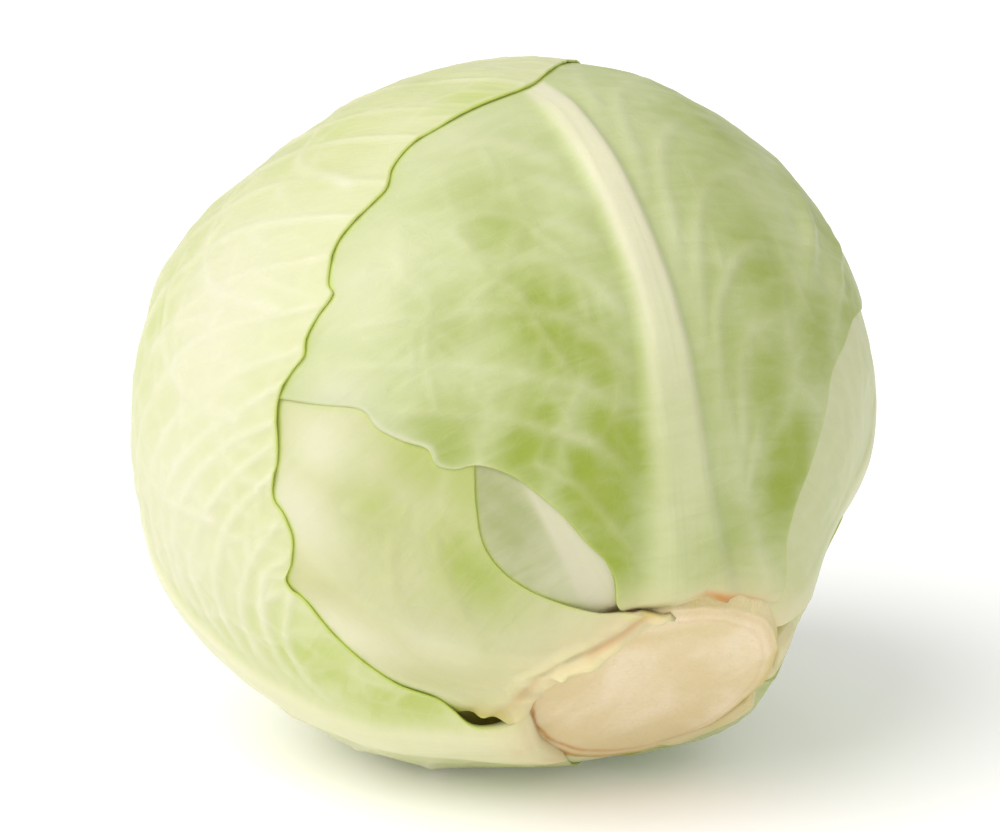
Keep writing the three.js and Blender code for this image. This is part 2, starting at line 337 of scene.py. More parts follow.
def distance_outside(leaf, w):
    """Millimetres outside the leaf's outline, negative inside it."""
    p = chart(leaf, w).reshape(-1, 2)
    nearest = np.full(len(p), np.inf)
    inside = np.zeros(len(p), bool)
    ends = leaf["outline"]
    for a, b in zip(np.roll(ends, 1, 0), ends):
        edge = b - a
        past = np.clip(((p - a) @ edge) / max(edge @ edge, 1e-9), 0, 1)
        away = p - a - past[:, None] * edge
        nearest = np.minimum(nearest, np.sum(away**2, -1))
        if a[1] != b[1]:
            level = (a[1] > p[:, 1]) != (b[1] > p[:, 1])
            inside ^= level & (p[:, 0] < a[0] + (p[:, 1] - a[1]) / edge[1] * edge[0])
    nearest = np.sqrt(nearest)
    return np.where(inside, -nearest, nearest).reshape(w.shape[:-1])


def torn(w):
    """The part of the front leaf's left edge that has been torn away, from 0 to 1."""
    return np.minimum(1, 1.6 * blob(w, -18, 69, 10, 1.2, -25))


def edge_tint(leaf, w):
    """How green the very edge of a leaf is, and how strong the painted shade along it is on the
    leaves under it; torn edges are pale.
    """
    if leaf["name"] == "front_leaf":
        return 0.30 + 0.2 * torn(w)
    if not leaf["ribbed"]:
        return np.full(w.shape[:-1], 0.1)
    greenest = 0.7 if leaf["name"] == "lower_leaf" else 1.0
    return greenest * smoothstep(from_stem_angle(w), 23, 31)


def depth_above(index, w):
    """Depth under the outer skin at which leaf `index` lies, in millimetres, and, from 0 to 1,
    a band of painted shade, tinted like a just-covered leaf, along the edge of each leaf lying
    over it."""
    depth = np.zeros(w.shape[:-1])
    painted_edge_shade = np.zeros(w.shape[:-1])
    for leaf in LEAVES[:index]:
        outside = distance_outside(leaf, w)
        if leaf["ribbed"]:
            margin, fade, step = COVER_MARGIN, COVER_FADE, LAYER_PITCH
        else:
            margin, fade, step = STUB_MARGIN, STUB_FADE, leaf["thickness"]
        share = 1 - smoothstep(outside - margin, 0, fade)
        if leaf["name"] == "front_leaf":
            step = step * (1 - 0.7 * torn(w))
        depth += share * step
        # Painted shade, tinted like a just-covered leaf, in a band along the edge of each leaf
        # lying over this one.
        painted_edge_shade = np.maximum(painted_edge_shade, bell(outside, 0, PAINTED_EDGE_SHADE_BAND) * edge_tint(leaf, w))
    return depth, painted_edge_shade


# ---- Veins, drawn on a leaf's own flat map ----
# A map place is (east, north) of the leaf's middle, in millimetres, the midrib along north.

MAP_STEP = 0.5
MAP_REACH = 250.0

# Veins of each leaf, through places (longitude, angle from stem).
VEINS = {
    "left_leaf": [
        [(-90, 42), (-76, 52), (-64, 59), (-50, 62)], [(-88, 47), (-70, 60), (-54, 66), (-46, 65)],
        [(-86, 54), (-68, 66), (-55, 69), (-42, 69)], [(-85, 60), (-66, 72), (-50, 75), (-36, 74)],
        [(-84, 66), (-66, 78), (-48, 79), (-33, 77)], [(-84, 72), (-64, 83), (-44, 83), (-31, 79)],
        [(-84, 78), (-62, 87), (-46, 87), (-26, 82)], [(-84, 84), (-62, 92), (-42, 92), (-20, 84)],
        [(-84, 91), (-60, 99), (-38, 99), (-16, 88)],
        [(-85, 98), (-58, 106), (-34, 105), (-10, 93)],
        [(-86, 106), (-56, 115), (-28, 112), (-5, 97)],
        [(-87, 115), (-54, 124), (-22, 118), (1, 100)],
        [(-88, 125), (-52, 134), (-16, 124), (8, 106)],
        [(-90, 136), (-45, 144), (-8, 128), (16, 108)],
        [(-92, 148), (-30, 152), (6, 132), (28, 110)],
        [(-94, 160), (0, 160), (28, 140), (42, 120)],
        [(-96, 174), (60, 165), (58, 148), (52, 130)],
        [(-36, 84), (-42, 94), (-44, 106), (-36, 120)],
        [(-22, 92), (-30, 104), (-30, 116), (-20, 130)],
        [(-52, 78), (-60, 90), (-62, 102), (-56, 114)], [(-4, 104), (-10, 116), (-2, 128)],
        [(-96, 34), (-112, 44), (-132, 50), (-150, 50)],
        [(-92, 46), (-112, 58), (-134, 66), (-158, 68)],
        [(-89, 58), (-112, 74), (-138, 84), (-166, 86)],
        [(-87, 71), (-113, 89), (-142, 99), (-176, 100)],
        [(-87, 85), (-115, 104), (-146, 114), (176, 112)],
        [(-89, 99), (-119, 120), (-154, 129), (172, 122)],
        [(-91, 113), (-125, 136), (-166, 142), (164, 129)],
        [(-93, 128), (-134, 152), (-180, 150), (154, 134)],
        [(-95, 144), (-156, 166), (162, 156), (146, 138)],
        [(-97, 162), (154, 172), (136, 156), (132, 141)],
    ],
    "front_leaf": [
        [(24, 92), (18, 98), (11, 101), (2, 104)],
        [(26, 84), (19, 91), (12, 95), (4, 97), (-3, 98)],
        [(24, 78), (16, 85), (9, 89), (1, 92), (-8, 94)],
        [(24, 68), (17, 77), (9, 81), (1, 84), (-9, 88), (-14, 87)],
        [(24, 58), (16, 68), (8, 73), (-1, 77), (-13, 82)],
        [(24, 48), (15, 58), (7, 63), (-2, 69), (-17, 78)],
        [(22, 38), (13, 50), (5, 56), (-2, 61), (-16, 70)], [(18, 28), (10, 38), (6, 46), (1, 52)],
        [(6, 87), (7, 80), (10, 74), (11, 67), (13, 60)],
        [(14, 83), (8, 78), (1, 76), (-5, 77), (-9, 72)],
        [(-1, 92), (-3, 85), (-2, 79), (-6, 73), (-9, 66)],
        [(17, 93), (16, 84), (19, 76), (18, 66)],
        [(44, 46), (44, 58), (50, 63), (63, 65), (72, 62)],
        [(38, 50), (40, 64), (47, 73), (57, 75), (70, 73)],
        [(36, 60), (40, 76), (47, 85), (58, 87), (76, 82)],
        [(46, 38), (50, 50), (58, 54), (66, 52)],
        [(35, 72), (40, 90), (52, 99), (68, 101), (88, 96)],
        [(34, 84), (40, 102), (54, 112), (74, 114), (96, 110)],
        [(33, 96), (42, 116), (62, 126), (80, 126)], [(62, 92), (64, 84), (68, 77), (78, 72)],
        [(70, 94), (74, 86), (80, 79), (88, 76)], [(57, 76), (60, 68), (64, 58)],
    ],
    "lower_leaf": [
        [(-44, 54), (-38, 62), (-30, 68), (-24, 70), (-12, 72)],
        [(-42, 44), (-34, 52), (-26, 56), (-16, 59)], [(-38, 34), (-30, 42), (-24, 50), (-16, 55)],
        [(-30, 62), (-26, 54), (-26, 46)], [(-22, 67), (-20, 58), (-21, 48)],
    ],
}
BROAD_VEINS = {
    "front_leaf": [[(66, 24), (54, 30), (45, 39), (40, 50), (37, 62), (35, 76)]],
    # The lower leaf's broad vein follows a pale streak; its pale colour is partly a painted
    # highlight.
    "lower_leaf": [[(-14, 80), (-22, 76), (-29, 69), (-34, 63), (-38, 56)]],
}


def draw_stroke(sheet, places, widths, heights):
    """Adds a soft raised line to the sheet, keeping the higher of old and new."""
    for place, width, height in zip(places, widths, heights):
        reach = 2.4 * width
        low = np.maximum(((place + MAP_REACH - reach) / MAP_STEP).astype(int), 0)
        high = np.minimum(((place + MAP_REACH + reach) / MAP_STEP).astype(int) + 2, len(sheet))
        if np.any(low >= high):
            continue
        x = np.arange(low[0], high[0])[:, None] * MAP_STEP - MAP_REACH - place[0]
        y = np.arange(low[1], high[1])[None, :] * MAP_STEP - MAP_REACH - place[1]
        patch = sheet[low[0]:high[0], low[1]:high[1]]
        np.maximum(patch, height * np.exp(-(x**2 + y**2) / width**2), out=patch)


def grow_vein(sheet, rng, start, heading, length, width, height, bend, level):
    """A vein that wanders from start (heading 0 is north), with branches to both sides."""
    step = 0.8
    count = max(int(length / step), 4)
    t = np.linspace(0, 1, count)
    wander = np.cumsum(rng.normal(0, 0.03, count))
    headings = heading + bend * t + wander
    hops = step * np.stack([np.sin(headings), np.cos(headings)], -1)
    places = np.array(start) + np.cumsum(hops, 0)
    fall = 1 - 0.75 * t
    draw_stroke(sheet, places, width * fall + 0.35, height * fall)
    side, at = 1, rng.uniform(0.12, 0.22)
    while level and at < 0.95:
        k = int(at * (count - 1))
        side = -side
        grow_vein(
            sheet, rng, places[k], headings[k] + side * rng.uniform(0.55, 0.85),
            length * (1 - at) * rng.uniform(0.35, 0.6), width * fall[k] * 0.6,
            height * fall[k] * 0.7, -side * 0.5, level - 1,
        )
        at += rng.uniform(0.10, 0.17)


def drawn_vein(sheet, rng, leaf, points, width, height):
    """A vein through chosen places on the head, thinning towards its end."""
    w = edge_curve(points, np.linspace(0, 1, 140))
    places = chart(leaf, w)
    t = np.linspace(0, 1, len(places))
    draw_stroke(sheet, places, width * (1 - 0.5 * t), height * (1 - 0.45 * t))
    for at in np.arange(0.18, 0.9, 0.2):
        k = int((at + rng.uniform(-0.06, 0.06)) * len(places))
        along = places[k + 1] - places[k - 1]
        heading = math.atan2(along[0], along[1])
        side = rng.choice((-1, 1))
        grow_vein(
            sheet, rng, places[k], heading + side * rng.uniform(0.7, 1.1), rng.uniform(10, 20),
            width * 0.6, height * 0.55, -side * 0.3, 0,
        )


def vein_sheet(leaf, seed):
    rng = np.random.default_rng(seed)
    count = int(2 * MAP_REACH / MAP_STEP) + 1
    sheet = np.zeros((count, count), "f4")
    for points in VEINS.get(leaf["name"], []):
        drawn_vein(sheet, rng, leaf, points, 2.0, 0.9)
    for points in BROAD_VEINS.get(leaf["name"], []):
        drawn_vein(sheet, rng, leaf, points, 3.6, 1.0)
    rib = chart(leaf, edge_curve(leaf["rib"], np.linspace(0, 1, 200)))
    climb = np.concatenate([[0], np.cumsum(np.linalg.norm(np.diff(rib, axis=0), axis=-1))])
    for side in leaf["grown_sides"]:
        at = rng.uniform(10, 16)
        while at < 0.9 * climb[-1]:
            start = (np.interp(at, climb, rib[:, 0]), np.interp(at, climb, rib[:, 1]))
            part = at / climb[-1]
            heading = side * (0.45 + 0.45 * part + rng.normal(0, 0.04))
            grow_vein(
                sheet, rng, start, heading, 120 - 50 * part, 2.0 - 0.8 * part, 0.9,
                side * 0.9, 1,
            )
            at += rng.uniform(13, 18)
    return sheet


def read_sheet(sheet, places):
    x, y = np.moveaxis(np.clip((places + MAP_REACH) / MAP_STEP, 0, len(sheet) - 2.001), -1, 0)
    i, j = x.astype(int), y.astype(int)
    a, b = x - i, y - j
    low = sheet[i, j] * (1 - a) + sheet[i + 1, j] * a
    high = sheet[i, j + 1] * (1 - a) + sheet[i + 1, j + 1] * a
    return low * (1 - b) + high * b


def cell_walls(places, size, width, shift):
    """A net of walls between uneven cells about `size` across, from 0 to 1 on a wall."""
    p = places / size + shift + 50
    home = np.floor(p).astype(int)
    first = np.full(p.shape[:-1], 9.0)
    second = first.copy()
    for dx in (-1, 0, 1):
        for dy in (-1, 0, 1):
            cell = home + (dx, dy)
            jitter = np.stack([
                NOISE_TABLE[cell[..., 0] % 32, cell[..., 1] % 32, 3],
                NOISE_TABLE[cell[..., 0] % 32, cell[..., 1] % 32, 9],
            ], -1)
            away = np.linalg.norm(cell + 0.1 + 0.8 * jitter - p, axis=-1)
            second = np.minimum(second, np.maximum(first, away))
            first = np.minimum(first, away)
    return np.exp(-(((second - first) * size / width) ** 2))


# ---- Meshes ----


def add_object(name, data):
    thing = bpy.data.objects.new(name, data)
    bpy.context.scene.collection.objects.link(thing)
    return thing


def make_piece(node, points_mm, faces, fields, material):
    """The look of one node: a smooth mesh with fields for its material."""
    name = node + "_look"
    mesh = bpy.data.meshes.new(name)
    mesh.from_pydata(to_row(points_mm).tolist(), [], faces.tolist())
    for field, values in fields.items():
        kind = "FLOAT_VECTOR" if values.ndim == 2 else "FLOAT"
        attribute = mesh.attributes.new(field, kind, "POINT")
        key = "vector" if values.ndim == 2 else "value"
        attribute.data.foreach_set(key, np.ascontiguousarray(values, "f4").ravel())
    mesh.materials.append(material)
    mesh.polygons.foreach_set("use_smooth", [True] * len(mesh.polygons))
    mesh.validate()
    mesh.update()
    thing = add_object(name, mesh)
    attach(thing, "root")
    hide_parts(node)


def sheet_faces(rows, columns):
    """Faces of a closed thin sheet: an outer grid, an inner grid and the rim between."""
    i, j = np.meshgrid(np.arange(rows), np.arange(columns), indexing="ij")
    a = i * (columns + 1) + j
    outer = np.stack([a, a + 1, a + columns + 2, a + columns + 1], -1).reshape(-1, 4)
    count = (rows + 1) * (columns + 1)
    inner = outer[:, ::-1] + count
    bottom = np.arange(columns, -1, -1)
    top = rows * (columns + 1) + np.arange(columns + 1)
    left = np.arange(rows + 1) * (columns + 1)
    right = left[::-1] + columns
    rims = []
    for line in (bottom, top, left, right):
        p, q = line[:-1], line[1:]
        rims.append(np.stack([p, q, q + count, p + count], -1))
    return np.vstack([outer, inner, *rims])


def rib_profile(leaf, along, across, length):
    """Midrib height from 0 to 1 and its half width, from the place on the sheet."""
    if not leaf["ribbed"]:
        return np.zeros_like(along), np.ones_like(along)
    base, third, tip = leaf["rib_widths"]
    part = along / length
    half = np.interp(part, [0, 0.12, 0.33, 1], [base, 0.5 * (base + third), third, tip])
    x = np.where(across < 0, -across / leaf["rib_slope"], across) / half
    return 1 - smoothstep(x, 0.4, 1.2), half


VEIN_SEED = 100
NET_CELL = 11.5
NET_WALL = 2.4
# Parts of the leaf's length at which its rib_pale values hold.
RIB_PALE_AT = (0, 0.16, 0.4, 1)
LEAF_ORDER = {leaf["name"]: index for index, leaf in enumerate(LEAVES)}

# Bumps that one leaf has: (longitude, from stem, spread, stretch, turn, height).
BUMPS = {
    "left_leaf": [(-78, 27, 4.5, 1.6, 20, 0.8)],
    "lower_leaf": [(-71, 28, 4.5, 1.0, 0, -1.5), (-8, 24, 5.5, 1.0, 0, 1.8)],
}


def leaf_grid(leaf):
    """Directions over the leaf, and millimetres across, along and from its edge."""
    probe = np.linspace(0, 1, 41)
    rib_line = leaf_direction(leaf, 0 * probe, probe)
    turns = []
    for side in (-1, 1):
        edge = leaf_direction(leaf, side * np.ones_like(probe), probe)
        turns.append(np.arccos(np.clip(np.sum(rib_line * edge, -1), -1, 1)))
    hops = np.arccos(np.clip(np.sum(rib_line[1:] * rib_line[:-1], -1), -1, 1))
    climb = np.concatenate([[0], np.cumsum(hops)]) * EQUATOR_RADIUS
    length = climb[-1]
    widest = (turns[0] + turns[1]).max() * EQUATOR_RADIUS
    cell = leaf["cell"] * 1
    columns, rows = int(widest / cell), int(length * 1.1 / cell)
    v, u = np.meshgrid(np.linspace(0, 1, rows + 1), np.linspace(-1, 1, columns + 1), indexing="ij")
    turn = np.where(u < 0, np.interp(v, probe, turns[0]), np.interp(v, probe, turns[1]))
    to_side = (1 - np.abs(u)) * turn * EQUATOR_RADIUS
    return dict(
        rows=rows, columns=columns, length=length, w=leaf_direction(leaf, u, v), v=v,
        across=u * turn * EQUATOR_RADIUS, along=np.interp(v, probe, climb),
        to_edge=np.minimum(to_side, (1 - v) * length),
    )


def leaf_veins(index, places, skin, off_rib):
    """The leaf's veins and the net of small ones between them, from 0 to 1."""
    leaf = LEAVES[index]
    if not leaf["ribbed"]:
        return np.zeros_like(off_rib), np.zeros_like(off_rib)
    vein = read_sheet(vein_sheet(leaf, VEIN_SEED + index), places)
    vein = vein * smoothstep(off_rib, 0.6, 1.2) * (0.35 + 0.65 * smoothstep(off_rib, 1, 2.5))
    vein = vein * (0.72 + 0.5 * smooth_noise(skin, 13, index + 17))
    bend = np.stack([smooth_noise(skin, 13, 21), smooth_noise(skin, 13, 33)], -1)
    net = cell_walls(places + 3.5 * bend, NET_CELL, NET_WALL, index) * smoothstep(off_rib, 1, 2)
    return vein, net * np.clip(0.6 + 0.7 * smooth_noise(skin, 22, index + 9), 0, 1)


def own_rise(leaf, w, skin, along, to_edge):
    """The bumps and folds that only this leaf has, in millimetres."""
    rise = np.zeros_like(along)
    for *place, height in BUMPS.get(leaf["name"], []):
        rise = rise + height * blob(w, *place)
    if leaf["name"] == "lower_leaf":
        beside = distance_outside(LEAVES[LEAF_ORDER["left_leaf"]], w)
        fold = bell(beside, 4.5, 3.2) * blob(w, -58, 42, 13, 2.0, -20)
        lumpy = 1 + 1.0 * smooth_noise(skin, 4.5, 2) + 0.5 * smooth_noise(skin, 2.2, 7)
        welt = 2.4 * bell(along, 2.2, 2.5) + 0.9 * bell(along, 8, 2.0)
        rise = rise + 1.2 * fold + welt * lumpy
    if leaf["name"] == "front_leaf":
        folds = np.maximum(blob(w, 67, 80, 1.8, 5.0, 25), 0.8 * blob(w, 75, 77, 1.6, 5.0, 30))
        crumple = blob(w, 74, 78, 9) * smooth_noise(skin, 5, 40)
        rise = rise + 1.4 * folds + 0.7 * crumple
    if not leaf["ribbed"]:
        rise = rise - 1.6 * (1 - smoothstep(to_edge, 0, 3.0)) + 0.35 * smooth_noise(skin, 4, 50)
    return rise


def sheet_thickness(leaf, w, rib, along, to_edge):
    """Thin at the edge, thicker along the midrib and at the base."""
    thickness = leaf["thickness"] + 1.2 * rib
    if leaf["ribbed"]:
        thickness = thickness + 2.6 * bell(along, 0, 9.0)
    thickness = thickness * (0.8 + 0.2 * smoothstep(to_edge, 0, 3.0))
    if leaf["name"] == "front_leaf":
        thickness = thickness * (1 - 0.45 * torn(w) * bell(to_edge, 0, 6))
    return thickness


def creases(leaf, w, skin, along):
    """Brown creases at the leaf's base, from 0 to 1."""
    if leaf["name"] == "lower_leaf":
        patchy = np.clip(0.6 + smooth_noise(skin, 6, 60), 0, 1)
        return 0.45 * bell(along, 5.0, 1.1) * patchy
    if leaf["name"] == "front_leaf":
        return bell(along, 1.0, 1.7) * np.minimum(1, 1.6 * blob(w, 52, 23, 6.0, 0.6, 0))
    return np.zeros_like(along)


def build_leaf(index, material):
    """A thin closed shell over the leaves inside it, with its ribs, waves and colours."""
    leaf = LEAVES[index]
    grid = leaf_grid(leaf)
    w, v, across, along = grid["w"], grid["v"], grid["across"], grid["along"]
    to_edge, length = grid["to_edge"], grid["length"]
    skin = w * EQUATOR_RADIUS
    places = chart(leaf, w)
    depth, painted_edge_shade = depth_above(index, w)
    bare = np.clip(1 - depth / LAYER_PITCH, 0, 1)
    rib, rib_half = rib_profile(leaf, along, across, length)
    rib = rib * (1 - 0.55 * np.clip(along / length, 0, 1))
    vein, net = leaf_veins(index, places, skin, np.abs(across) / rib_half)

    waves = 0.55 * smooth_noise(skin, 24, 3) + 0.3 * smooth_noise(skin, 11, 10)
    ripple = 0.10 * smooth_noise(skin, 4.5, index + 3)
    relief = leaf["vein_rise"] * (vein + 0.3 * net) - 0.15
    rise = waves + bare * (leaf["rib_rise"] * rib + relief + ripple)
    curl = bell(to_edge, 0, 3.0) * (0.75 + 0.5 * smooth_noise(skin, 9, index + 5))
    rise = rise + leaf["lift"] * curl * np.where(v < 0.04, 0.2, 1) * (0.3 + 0.7 * bare)
    rise = rise + own_rise(leaf, w, skin, along, to_edge)
    if index > LEAF_ORDER["lower_leaf"]:
        depth = depth + HOLLOW_DEPTH * blob(w, *HOLLOW)
    radius = layer_radius(w, depth, rise)
    if leaf["ribbed"] and leaf["name"] != "lower_leaf":
        radius = radius - 1.8 * bell(along, 0, 2.2)
    thickness = sheet_thickness(leaf, w, rib, along, to_edge)
    outer, inner = w * radius[..., None], w * (radius - thickness)[..., None]

    green, pale_and_highlight = patches(leaf["name"], w)
    # Painted highlight: a thin pale line along the torn part of the front leaf's edge.
    if leaf["name"] == "front_leaf":
        pale_and_highlight = np.maximum(pale_and_highlight, 1.1 * torn(w) * bell(to_edge, 0, 1.1))
    fields = {
        "vein": vein, "net": net, "rib": rib, "green": green, "pale_and_highlight": pale_and_highlight,
        "rim": bell(to_edge, 0, RIM_BAND) * edge_tint(leaf, w), "painted_edge_shade": painted_edge_shade,
        "rib_pale": np.interp(along / length, RIB_PALE_AT, leaf["rib_pale"]),
        "near_stem": bell(from_stem_angle(w), 20, leaf["stem_tint_reach"]),
        "crease": creases(leaf, w, skin, along),
        # Painted shade in the hollow beside the stump, on the leaves inside the front leaf.
        "painted_hollow_shade": blob(w, -74, 27.5, 4.5, 1.3) * (index > LEAF_ORDER["front_leaf"]),
    }
    both = {name: np.tile(field.ravel(), 2) for name, field in fields.items()}
    flat = np.concatenate([places, 0 * places[..., :1]], -1).reshape(-1, 3)
    both["sheet"] = np.tile(flat, (2, 1))
    points = np.concatenate([outer.reshape(-1, 3), inner.reshape(-1, 3)])
    make_piece(leaf["name"], points, sheet_faces(grid["rows"], grid["columns"]), both, material)


# Greener and paler patches of each leaf; the paler ones are partly painted highlight:
# (longitude, from stem, spread, stretch, turn, amount).
GREEN_PATCHES = {
    "left_leaf": [
        (-68, 40, 8, 1.6, -25, 1.3), (-66, 54, 9, 1.3, -30, 1.0), (-80, 46, 8, 1.4, -30, 0.8),
        (-6, 110, 6, 1.5, 60, 0.35), (-4, 120, 9, 1.2, 60, 0.4), (-44, 112, 7, 1.6, 60, 0.4),
        (20, 110, 6, 1, 0, 0.8), (16, 124, 9, 1, 0, 0.4), (-74, 68, 9, 1.2, 0, 0.4),
        (150, 60, 25, 1.5, 0, 0.5), (-130, 50, 20, 1.5, 0, 0.5), (-150, 110, 25, 1, 0, 0.4),
        (-140, 80, 9, 1.6, 20, 0.9), (-170, 100, 10, 1.5, -10, 0.8), (172, 128, 8, 1.4, 0, 0.8),
        (-120, 100, 7, 1.8, 30, 0.8), (-132, 138, 9, 1.5, 0, 0.8), (60, 158, 10, 1.2, 0, 0.7),
        (-175, 162, 9, 1.0, 0, 0.7), (-106, 72, 6, 1.8, 0, 0.7),
    ],
    "front_leaf": [
        (9, 44, 6, 2.0, 0, 1.5), (8, 34, 4.5, 1.8, 0, 1.3), (2, 55, 6.5, 1.5, 40, 1.25),
        (-10, 62, 5.5, 1.3, 60, 1.05), (16, 50, 5.5, 2.0, 0, 1.45), (17, 62, 5.5, 1.6, 0, 1.1),
        (12, 68, 8, 1.7, 0, 1.1), (13, 84, 7, 1.7, 0, 0.75), (19, 58, 7, 2.0, 0, 0.8),
        (60, 42, 6, 1.8, 0, 1.35), (51, 53, 5.5, 1.7, 0, 0.95),
        (52, 72, 8, 1.5, 0, 0.9), (65, 62, 7, 1.5, 0, 0.95), (78, 69, 7, 1.6, 40, 1.1),
        (48, 85, 8, 1.4, 0, 0.55), (56, 98, 10, 1.2, 0, 0.75), (74, 84, 9, 1.2, 0, 0.8),
        (40, 30, 9, 1, 0, 0.6), (92, 100, 14, 1, 0, 0.8), (60, 122, 20, 1, 0, 0.6),
        (-2, 76, 7, 1.2, 60, 0.5), (42, 60, 6, 2.5, 0, 0.5), (24, 76, 5, 3, 0, 0.45),
    ],
    "back_leaf": [(166, 80, 60, 1.5, 0, 0.7)],
    "lower_leaf": [
        (-22, 44, 5, 2.2, 10, 1.0), (-28, 60, 6, 1.3, 0, 0.8), (-16, 62, 5, 1.5, 0, 0.9),
        (-12, 55, 4, 2.0, 30, 0.9),
    ],
    "right_leaf": [(90, 60, 50, 1.5, 0, 0.45), (140, 80, 30, 1.5, 0, 0.5)],
    "under_leaf": [(-148, 70, 40, 1, 0, 0.5)],
    "inner_leaf": [(-9, 49, 7, 1.6, -8, 1.15), (-14, 42, 5, 1.5, 0, 0.7)],
    "stub_right": [(112, 27, 6, 1, 0, 0.5)],
    "stub_lower": [(168, 28, 8, 1, 0, 0.3)],
}
# Paler patches, partly painted highlight.
PALE_AND_HIGHLIGHT_PATCHES = {
    "left_leaf": [
        (-90, 47, 7, 1.2, 90, 0.8), (-32, 98, 14, 1.6, 60, 1.1), (-58, 84, 14, 1.4, 60, 0.8),
        (-90, 60, 20, 1.4, 0, 0.6),
    ],
    "front_leaf": [(-9, 86, 8, 1.2, 50, 0.5), (12, 104, 9, 1, 90, 0.4), (-20, 76, 6, 1, 0, 0.7)],
    "lower_leaf": [
        (-38, 68, 7, 1.2, 0, 1.1), (-52, 52, 5, 2.2, -10, 1.1), (-44, 40, 3.5, 2.4, -10, 0.7),
        (-30, 27, 9, 1, 0, 0.4), (-27, 72, 6, 1, 0, 1.0),
    ],
    "inner_leaf": [(2, 42, 4.5, 3, 0, 0.6)],
}


def patches(name, w):
    """How green and how pale each place of a leaf is; the paleness is partly painted highlight."""
    lit = []
    for table in (GREEN_PATCHES, PALE_AND_HIGHLIGHT_PATCHES):
        total = np.zeros(w.shape[:-1])
        for *place, amount in table.get(name, []):
            total = np.maximum(total, amount * blob(w, *place))
        lit.append(total)
    return lit


# ---- Materials ----


def srgb(red, green, blue):
    """Linear colour from 0-255 screen values."""
    def one(c):
        c /= 255
        return c / 12.92 if c <= 0.04045 else ((c + 0.055) / 1.055) ** 2.4
    return (one(red), one(green), one(blue), 1.0)


class Nodes:
    """A short way to write a node tree."""

    def __init__(self, name):
        self.material = bpy.data.materials.new(name)
        self.material.use_nodes = True
        self.tree = self.material.node_tree
        self.surface = self.tree.nodes["Principled BSDF"]

    def new(self, kind, inputs=None, **settings):
        node = self.tree.nodes.new(kind)
        for key, value in settings.items():
            setattr(node, key, value)
        self.fill(node, inputs or {})
        return node

    def fill(self, node, inputs):
        """Links a node's inputs to sockets, or sets them to values."""
        for key, value in inputs.items():
            if isinstance(value, bpy.types.NodeSocket):
                self.tree.links.new(value, node.inputs[key])
            else:
                node.inputs[key].default_value = value

    def field(self, name):
        return self.new("ShaderNodeAttribute", attribute_name=name).outputs["Fac"]

    def vector(self, name):
        return self.new("ShaderNodeAttribute", attribute_name=name).outputs["Vector"]

    def math(self, operation, a, b, clamp):
        inputs = {0: a, 1: b}
        return self.new("ShaderNodeMath", inputs, operation=operation, use_clamp=clamp).outputs[0]

    def times(self, a, b, clamp=False):
        return self.math("MULTIPLY", a, b, clamp)

    def plus(self, a, b, clamp=False):
        return self.math("ADD", a, b, clamp)

    def ramp(self, value, low, high, to_low=0.0, to_high=1.0):
        """Maps low to high onto to_low to to_high, with soft ends."""
        inputs = {"Value": value, "From Min": low, "From Max": high}
        inputs |= {"To Min": to_low, "To Max": to_high}
        spread = self.new("ShaderNodeMapRange", inputs, interpolation_type="SMOOTHSTEP")
        return spread.outputs["Result"]

    def blend(self, share, a, b):
        """A colour mix; sockets 0, 6, 7 and 2 are the mix node's factor, colours and result."""
        inputs = {0: share, 6: a, 7: b}
        return self.new("ShaderNodeMix", inputs, data_type="RGBA").outputs[2]

    def noise(self, scale, detail, vector, distortion=0.0):
        inputs = {"Scale": scale, "Detail": detail, "Vector": vector, "Distortion": distortion}
        return self.new("ShaderNodeTexNoise", inputs).outputs["Fac"]

    def scaled(self, vector, scale):
        return self.new("ShaderNodeMapping", {"Vector": vector, "Scale": scale}).outputs[0]

    def vector_math(self, operation, a, b):
        return self.new("ShaderNodeVectorMath", {0: a, 1: b}, operation=operation).outputs[0]

    def wall_distance(self, scale, vector):
        """Distance to the nearest wall between uneven cells."""
        inputs = {"Vector": vector, "Scale": scale}
        cells = self.new("ShaderNodeTexVoronoi", inputs, feature="DISTANCE_TO_EDGE")
        return cells.outputs["Distance"]

    def finish(self, colour, height, bump_mm, roughness, subsurface):
        """Joins colour, bumps and gloss to a skin that lets light in."""
        inputs = {"Height": height, "Distance": bump_mm / 1000, "Strength": 1.0}
        bump = self.new("ShaderNodeBump", inputs)
        self.fill(self.surface, {
            "Base Color": colour, "Normal": bump.outputs["Normal"], "Roughness": roughness,
            "Specular IOR Level": SKIN_SPECULAR, "Subsurface Weight": subsurface,
            "Subsurface Radius": SKIN_LIGHT_REACH, "Subsurface Scale": SKIN_LIGHT_DEPTH,
        })
        return self.material


SKIN_SPECULAR = 0.35
SKIN_LIGHT_REACH = (1.0, 0.9, 0.35)
SKIN_LIGHT_DEPTH = 0.003

# Colour of the paler patches, partly painted highlight, and of the painted highlight on the torn
# edge.
CREAM_AND_HIGHLIGHT = srgb(222, 219, 188)
STEM_TAN = srgb(216, 200, 158)
# Tinted places of a leaf: (field, strength, colour). The second is painted shade in the hollow
# beside the stump; the last is painted shade along the edge of a leaf lying over this one, in the
# greener colour of a just-covered leaf.
TINTS = [
    ("crease", 1.0, srgb(200, 138, 70)), ("painted_hollow_shade", 0.9, srgb(176, 160, 52)),
    ("rim", 0.75, srgb(182, 200, 74)), ("painted_edge_shade", 0.85, srgb(196, 212, 84)),
]


